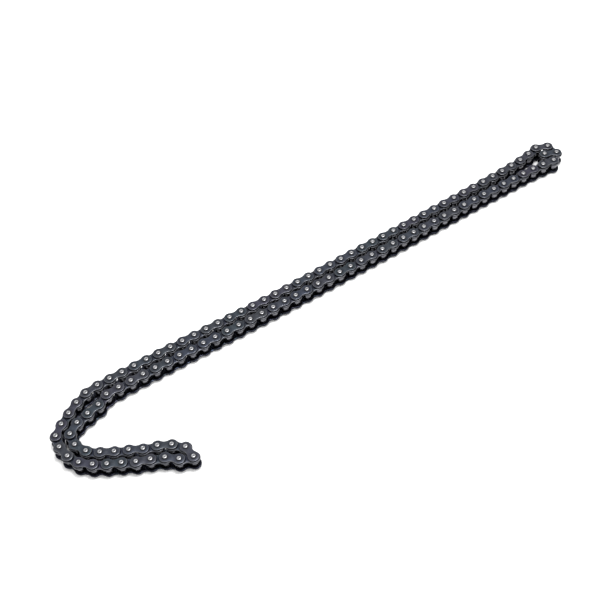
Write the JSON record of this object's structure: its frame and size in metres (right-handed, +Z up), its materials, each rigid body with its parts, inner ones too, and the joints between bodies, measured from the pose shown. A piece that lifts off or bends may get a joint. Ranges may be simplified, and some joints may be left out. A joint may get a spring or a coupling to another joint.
{
  "type": "roller chain loop",
  "caption": "Closed loop of blackened steel roller chain for a garage door opener drive, folded double with a hooked end; every link turns on its pin.",
  "frame": {"origin": "middle of the lying chain's box on the ground, under the pins' lower ends", "axes": "+X along the double strand towards the far fold, +Y from the hooked short leg towards the long strands, +Z up along the pins"},
  "size_m": [0.6024, 0.1358, 0.0166],
  "materials": {
    "blackened_steel": "black-oxide steel link plates with a blue-violet temper tint, satin",
    "roller_steel": "dark polished steel rollers and bushes",
    "pin_steel": "bright riveted pin ends"
  },
  "bodies": {
    "far_fold_1": {"far_fold_1": "blackened_steel"},
    "far_fold_2": {"far_fold_2": "blackened_steel"},
    "far_fold_3": {"far_fold_3": "blackened_steel"},
    "upper_run_1": {"upper_run_1": "blackened_steel"},
    "upper_run_2": {"upper_run_2": "blackened_steel"},
    "upper_run_3": {"upper_run_3": "blackened_steel"},
    "upper_run_4": {"upper_run_4": "blackened_steel"},
    "upper_run_5": {"upper_run_5": "blackened_steel"},
    "upper_run_6": {"upper_run_6": "blackened_steel"},
    "upper_run_7": {"upper_run_7": "blackened_steel"},
    "upper_run_8": {"upper_run_8": "blackened_steel"},
    "upper_run_9": {"upper_run_9": "blackened_steel"},
    "upper_run_10": {"upper_run_10": "blackened_steel"},
    "upper_run_11": {"upper_run_11": "blackened_steel"},
    "upper_run_12": {"upper_run_12": "blackened_steel"},
    "upper_run_13": {"upper_run_13": "blackened_steel"},
    "upper_run_14": {"upper_run_14": "blackened_steel"},
    "upper_run_15": {"upper_run_15": "blackened_steel"},
    "outer_bend_1": {"outer_bend_1": "blackened_steel"},
    "outer_bend_2": {"outer_bend_2": "blackened_steel"},
    "outer_bend_3": {"outer_bend_3": "blackened_steel"},
    "outer_bend_4": {"outer_bend_4": "blackened_steel"},
    "outer_bend_5": {"outer_bend_5": "blackened_steel"},
    "outer_bend_6": {"outer_bend_6": "blackened_steel"},
    "outer_leg_1": {"outer_leg_1": "blackened_steel"},
    "outer_leg_2": {"outer_leg_2": "blackened_steel"},
    "outer_leg_3": {"outer_leg_3": "blackened_steel"},
    "inner_leg_1": {"inner_leg_1": "blackened_steel"},
    "inner_leg_2": {"inner_leg_2": "blackened_steel"},
    "inner_leg_3": {"inner_leg_3": "blackened_steel"},
    "inner_leg_4": {"inner_leg_4": "blackened_steel"},
    "inner_bend_1": {"inner_bend_1": "blackened_steel"},
    "inner_bend_2": {"inner_bend_2": "blackened_steel"},
    "inner_bend_3": {"inner_bend_3": "blackened_steel"},
    "lower_run_1": {"lower_run_1": "blackened_steel"},
    "lower_run_2": {"lower_run_2": "blackened_steel"},
    "lower_run_3": {"lower_run_3": "blackened_steel"},
    "lower_run_4": {"lower_run_4": "blackened_steel"},
    "lower_run_5": {"lower_run_5": "blackened_steel"},
    "lower_run_6": {"lower_run_6": "blackened_steel"},
    "lower_run_7": {"lower_run_7": "blackened_steel"},
    "lower_run_8": {"lower_run_8": "blackened_steel"},
    "lower_run_9": {"lower_run_9": "blackened_steel"},
    "lower_run_10": {"lower_run_10": "blackened_steel"},
    "lower_run_11": {"lower_run_11": "blackened_steel"},
    "lower_run_12": {"lower_run_12": "blackened_steel"},
    "lower_run_13": {"lower_run_13": "blackened_steel"},
    "lower_run_14": {"lower_run_14": "blackened_steel"},
    "lower_run_15": {"lower_run_15": "blackened_steel"},
    "lower_run_16": {"lower_run_16": "blackened_steel"},
    "tip_inner_link": {"tip_inner_plate_top": "blackened_steel", "tip_inner_plate_bottom": "blackened_steel", "tip_bush_57": "roller_steel", "tip_bush_58": "roller_steel"},
    "tip_outer_link": {"tip_outer_plate_top": "blackened_steel", "tip_outer_plate_bottom": "blackened_steel", "tip_pin_58": "pin_steel", "tip_pin_59": "pin_steel"},
    "tip_roller_57": {"tip_roller_57": "roller_steel"},
    "tip_roller_58": {"tip_roller_58": "roller_steel"}
  },
  "joints": [
    {"name": "pivot_115", "type": "hinge", "parent": "far_fold_1", "child": "far_fold_2", "pos_m": [0.2953, 0.04432, 0.0083], "axis": [0, 0, 1], "range_deg": [-60, 0]},
    {"name": "pivot_000", "type": "hinge", "parent": "far_fold_2", "child": "far_fold_3", "pos_m": [0.29397, 0.05695, 0.0083], "axis": [0, 0, 1], "range_deg": [-60, 0]},
    {"name": "pivot_001", "type": "hinge", "parent": "far_fold_3", "child": "upper_run_1", "pos_m": [0.28235, 0.06205, 0.0083], "axis": [0, 0, 1], "range_deg": [-60, 0]},
    {"name": "pivot_003", "type": "hinge", "parent": "upper_run_1", "child": "upper_run_2", "pos_m": [0.25743, 0.05723, 0.0083], "axis": [0, 0, 1], "range_deg": [-30, 0]},
    {"name": "pivot_006", "type": "hinge", "parent": "upper_run_2", "child": "upper_run_3", "pos_m": [0.2194, 0.05508, 0.0083], "axis": [0, 0, 1], "range_deg": [-35, 0]},
    {"name": "pivot_009", "type": "hinge", "parent": "upper_run_3", "child": "upper_run_4", "pos_m": [0.18132, 0.05414, 0.0083], "axis": [0, 0, 1], "range_deg": [-40, 0]},
    {"name": "pivot_012", "type": "hinge", "parent": "upper_run_4", "child": "upper_run_5", "pos_m": [0.14322, 0.05357, 0.0083], "axis": [0, 0, 1], "range_deg": [-35, 0]},
    {"name": "pivot_015", "type": "hinge", "parent": "upper_run_5", "child": "upper_run_6", "pos_m": [0.10512, 0.05309, 0.0083], "axis": [0, 0, 1], "range_deg": [-40, 0]},
    {"name": "pivot_018", "type": "hinge", "parent": "upper_run_6", "child": "upper_run_7", "pos_m": [0.06702, 0.05276, 0.0083], "axis": [0, 0, 1], "range_deg": [-45, 0]},
    {"name": "pivot_021", "type": "hinge", "parent": "upper_run_7", "child": "upper_run_8", "pos_m": [0.02892, 0.05247, 0.0083], "axis": [0, 0, 1], "range_deg": [-45, 0]},
    {"name": "pivot_024", "type": "hinge", "parent": "upper_run_8", "child": "upper_run_9", "pos_m": [-0.00917, 0.0521, 0.0083], "axis": [0, 0, 1], "range_deg": [-45, 0]},
    {"name": "pivot_027", "type": "hinge", "parent": "upper_run_9", "child": "upper_run_10", "pos_m": [-0.04727, 0.05199, 0.0083], "axis": [0, 0, 1], "range_deg": [-50, 0]},
    {"name": "pivot_030", "type": "hinge", "parent": "upper_run_10", "child": "upper_run_11", "pos_m": [-0.08537, 0.05252, 0.0083], "axis": [0, 0, 1], "range_deg": [-55, 0]},
    {"name": "pivot_033", "type": "hinge", "parent": "upper_run_11", "child": "upper_run_12", "pos_m": [-0.12345, 0.05364, 0.0083], "axis": [0, 0, 1], "range_deg": [-40, 0]},
    {"name": "pivot_035", "type": "hinge", "parent": "upper_run_12", "child": "upper_run_13", "pos_m": [-0.14884, 0.05433, 0.0083], "axis": [0, 0, 1], "range_deg": [-40, 0]},
    {"name": "pivot_037", "type": "hinge", "parent": "upper_run_13", "child": "upper_run_14", "pos_m": [-0.17424, 0.05474, 0.0083], "axis": [0, 0, 1], "range_deg": [-45, 0]},
    {"name": "pivot_039", "type": "hinge", "parent": "upper_run_14", "child": "upper_run_15", "pos_m": [-0.19964, 0.055, 0.0083], "axis": [0, 0, 1], "range_deg": [-45, 0]},
    {"name": "pivot_041", "type": "hinge", "parent": "upper_run_15", "child": "outer_bend_1", "pos_m": [-0.22504, 0.05531, 0.0083], "axis": [0, 0, 1], "range_deg": [-50, 0]},
    {"name": "pivot_043", "type": "hinge", "parent": "outer_bend_1", "child": "outer_bend_2", "pos_m": [-0.25036, 0.05368, 0.0083], "axis": [0, 0, 1], "range_deg": [-85, 0]},
    {"name": "pivot_045", "type": "hinge", "parent": "outer_bend_2", "child": "outer_bend_3", "pos_m": [-0.27298, 0.04226, 0.0083], "axis": [0, 0, 1], "range_deg": [-65, 0]},
    {"name": "pivot_113", "type": "hinge", "parent": "far_fold_1", "child": "lower_run_16", "pos_m": [0.28526, 0.03706, 0.0083], "axis": [0, 0, 1], "range_deg": [0, 90]},
    {"name": "pivot_111", "type": "hinge", "parent": "lower_run_16", "child": "lower_run_15", "pos_m": [0.25999, 0.03949, 0.0083], "axis": [0, 0, 1], "range_deg": [0, 25]},
    {"name": "pivot_108", "type": "hinge", "parent": "lower_run_15", "child": "lower_run_14", "pos_m": [0.22189, 0.04007, 0.0083], "axis": [0, 0, 1], "range_deg": [0, 25]},
    {"name": "pivot_105", "type": "hinge", "parent": "lower_run_14", "child": "lower_run_13", "pos_m": [0.18379, 0.04022, 0.0083], "axis": [0, 0, 1], "range_deg": [0, 25]},
    {"name": "pivot_102", "type": "hinge", "parent": "lower_run_13", "child": "lower_run_12", "pos_m": [0.14569, 0.03981, 0.0083], "axis": [0, 0, 1], "range_deg": [0, 25]},
    {"name": "pivot_099", "type": "hinge", "parent": "lower_run_12", "child": "lower_run_11", "pos_m": [0.1076, 0.0395, 0.0083], "axis": [0, 0, 1], "range_deg": [0, 25]},
    {"name": "pivot_096", "type": "hinge", "parent": "lower_run_11", "child": "lower_run_10", "pos_m": [0.0695, 0.03926, 0.0083], "axis": [0, 0, 1], "range_deg": [0, 25]},
    {"name": "pivot_093", "type": "hinge", "parent": "lower_run_10", "child": "lower_run_9", "pos_m": [0.0314, 0.03909, 0.0083], "axis": [0, 0, 1], "range_deg": [0, 20]},
    {"name": "pivot_090", "type": "hinge", "parent": "lower_run_9", "child": "lower_run_8", "pos_m": [-0.0067, 0.03909, 0.0083], "axis": [0, 0, 1], "range_deg": [0, 20]},
    {"name": "pivot_087", "type": "hinge", "parent": "lower_run_8", "child": "lower_run_7", "pos_m": [-0.0448, 0.03923, 0.0083], "axis": [0, 0, 1], "range_deg": [0, 20]},
    {"name": "pivot_084", "type": "hinge", "parent": "lower_run_7", "child": "lower_run_6", "pos_m": [-0.0829, 0.03957, 0.0083], "axis": [0, 0, 1], "range_deg": [0, 30]},
    {"name": "pivot_082", "type": "hinge", "parent": "lower_run_6", "child": "lower_run_5", "pos_m": [-0.1083, 0.04002, 0.0083], "axis": [0, 0, 1], "range_deg": [0, 35]},
    {"name": "pivot_080", "type": "hinge", "parent": "lower_run_5", "child": "lower_run_4", "pos_m": [-0.13369, 0.04065, 0.0083], "axis": [0, 0, 1], "range_deg": [0, 35]},
    {"name": "pivot_078", "type": "hinge", "parent": "lower_run_4", "child": "lower_run_3", "pos_m": [-0.15908, 0.04123, 0.0083], "axis": [0, 0, 1], "range_deg": [0, 15]},
    {"name": "pivot_076", "type": "hinge", "parent": "lower_run_3", "child": "lower_run_2", "pos_m": [-0.18448, 0.04157, 0.0083], "axis": [0, 0, 1], "range_deg": [0, 15]},
    {"name": "pivot_074", "type": "hinge", "parent": "lower_run_2", "child": "lower_run_1", "pos_m": [-0.20988, 0.04176, 0.0083], "axis": [0, 0, 1], "range_deg": [0, 15]},
    {"name": "pivot_072", "type": "hinge", "parent": "lower_run_1", "child": "inner_bend_3", "pos_m": [-0.23527, 0.04108, 0.0083], "axis": [0, 0, 1], "range_deg": [0, 15]},
    {"name": "pivot_069", "type": "hinge", "parent": "inner_bend_3", "child": "inner_bend_2", "pos_m": [-0.27107, 0.02868, 0.0083], "axis": [0, 0, 1], "range_deg": [0, 5]},
    {"name": "pivot_068", "type": "hinge", "parent": "inner_bend_2", "child": "inner_bend_1", "pos_m": [-0.28154, 0.02149, 0.0083], "axis": [0, 0, 1], "range_deg": [0, 5]},
    {"name": "pivot_066", "type": "hinge", "parent": "inner_bend_1", "child": "inner_leg_4", "pos_m": [-0.27749, -0.00266, 0.0083], "axis": [0, 0, 1], "range_deg": [0, 5]},
    {"name": "pivot_064", "type": "hinge", "parent": "inner_leg_4", "child": "inner_leg_3", "pos_m": [-0.25693, -0.01742, 0.0083], "axis": [0, 0, 1], "range_deg": [0, 10]},
    {"name": "pivot_062", "type": "hinge", "parent": "inner_leg_3", "child": "inner_leg_2", "pos_m": [-0.2346, -0.02952, 0.0083], "axis": [0, 0, 1], "range_deg": [0, 10]},
    {"name": "pivot_060", "type": "hinge", "parent": "inner_leg_2", "child": "inner_leg_1", "pos_m": [-0.21158, -0.04009, 0.0083], "axis": [0, 0, 1], "range_deg": [0, 10]},
    {"name": "pivot_059", "type": "hinge", "parent": "inner_leg_1", "child": "tip_outer_link", "pos_m": [-0.2028, -0.04927, 0.0083], "axis": [0, 0, -1], "range_deg": [-75, 0]},
    {"name": "pivot_058", "type": "hinge", "parent": "tip_outer_link", "child": "tip_inner_link", "pos_m": [-0.20179, -0.06193, 0.0083], "axis": [0, 0, -1], "range_deg": [-145, 0]},
    {"name": "pivot_057", "type": "hinge", "parent": "tip_inner_link", "child": "outer_leg_3", "pos_m": [-0.21343, -0.05684, 0.0083], "axis": [0, 0, -1], "range_deg": [-60, 0]},
    {"name": "pivot_055", "type": "hinge", "parent": "outer_leg_3", "child": "outer_leg_2", "pos_m": [-0.23428, -0.04276, 0.0083], "axis": [0, 0, -1], "range_deg": [-50, 0]},
    {"name": "pivot_053", "type": "hinge", "parent": "outer_leg_2", "child": "outer_leg_1", "pos_m": [-0.25691, -0.03136, 0.0083], "axis": [0, 0, -1], "range_deg": [-50, 0]},
    {"name": "pivot_051", "type": "hinge", "parent": "outer_leg_1", "child": "outer_bend_6", "pos_m": [-0.27877, -0.01845, 0.0083], "axis": [0, 0, -1], "range_deg": [-60, 0]},
    {"name": "pivot_050", "type": "hinge", "parent": "outer_bend_6", "child": "outer_bend_5", "pos_m": [-0.28796, -0.00969, 0.0083], "axis": [0, 0, -1], "range_deg": [-75, 0]},
    {"name": "pivot_049", "type": "hinge", "parent": "outer_bend_5", "child": "outer_bend_4", "pos_m": [-0.29336, 0.0018, 0.0083], "axis": [0, 0, -1], "range_deg": [-75, 0]},
    {"name": "roller_57_spin", "type": "hinge", "parent": "tip_inner_link", "child": "tip_roller_57", "pos_m": [-0.21343, -0.05684, 0.0083], "axis": [0, 0, 1], "continuous": true},
    {"name": "roller_58_spin", "type": "hinge", "parent": "tip_inner_link", "child": "tip_roller_58", "pos_m": [-0.20179, -0.06193, 0.0083], "axis": [0, 0, 1], "continuous": true}
  ]
}
